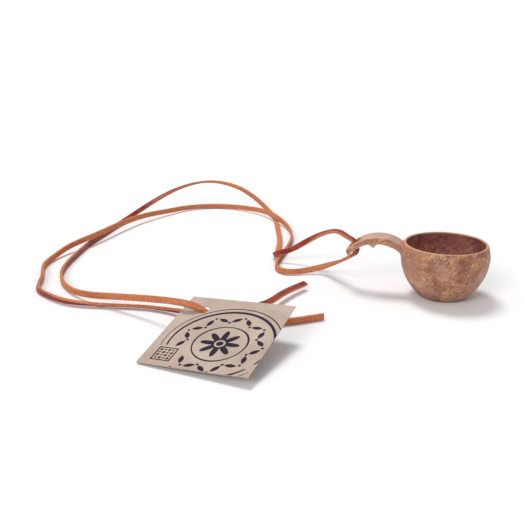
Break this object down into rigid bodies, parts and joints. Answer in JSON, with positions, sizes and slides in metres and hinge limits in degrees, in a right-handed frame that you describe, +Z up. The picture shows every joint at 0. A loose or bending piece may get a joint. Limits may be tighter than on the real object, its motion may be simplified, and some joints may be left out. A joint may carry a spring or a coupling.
{
  "type": "kuksa cup with lace and tag",
  "caption": "Small round drinking cup with an arched, eyed handle, a long flat neck lace looped through the eye, and a square card tag threaded on the lace.",
  "frame": {"origin": "centre of the cup's foot, on the table", "axes": "+Z up out of the cup's mouth, the handle pointing along -X, the lace lying on the table beyond the handle"},
  "size_m": [0.3086, 0.3618, 0.0373],
  "materials": {
    "cup": "moulded wood fibre, satin, flecked",
    "lace": "smooth on one face, suede on the other",
    "tag": "matt kraft card with a dark printed pattern"
  },
  "bodies": {
    "cup": {"cup": "cup"},
    "eye_bend": {"lace_eye_bend": "lace"},
    "small_loop": {"lace_loop_upper": "lace", "lace_loop_lower": "lace"},
    "far_lace": {"lace_far_upper": "lace", "lace_far_lower": "lace"},
    "near_lace": {"lace_near_upper": "lace", "lace_near_lower": "lace"},
    "tag": {"tag": "tag"}
  },
  "joints": [
    {"name": "lace_swing", "type": "hinge", "parent": "cup", "child": "eye_bend", "pos_m": [-0.058, 0.0015, 0.027], "axis": [0, 0, 1], "range_deg": [-6, 6]},
    {"name": "lace_lift", "type": "hinge", "parent": "eye_bend", "child": "small_loop", "pos_m": [-0.066, 0.0068, 0.034], "axis": [0, 1, 0], "range_deg": [0, 85]},
    {"name": "knot_bend", "type": "hinge", "parent": "small_loop", "child": "far_lace", "pos_m": [-0.1175, 0.041, 0.004], "axis": [0, 0, 1], "range_deg": [-20, 8]},
    {"name": "neck_bend", "type": "hinge", "parent": "far_lace", "child": "near_lace", "pos_m": [-0.2703, 0.043, 0.004], "axis": [0, 0, 1], "range_deg": [-20, 3]},
    {"name": "tag_flip", "type": "hinge", "parent": "near_lace", "child": "tag", "pos_m": [-0.1311, -0.0945, 0.0128], "axis": [-0.8096, -0.5502, -0.2048], "range_deg": [0, 30]}
  ]
}
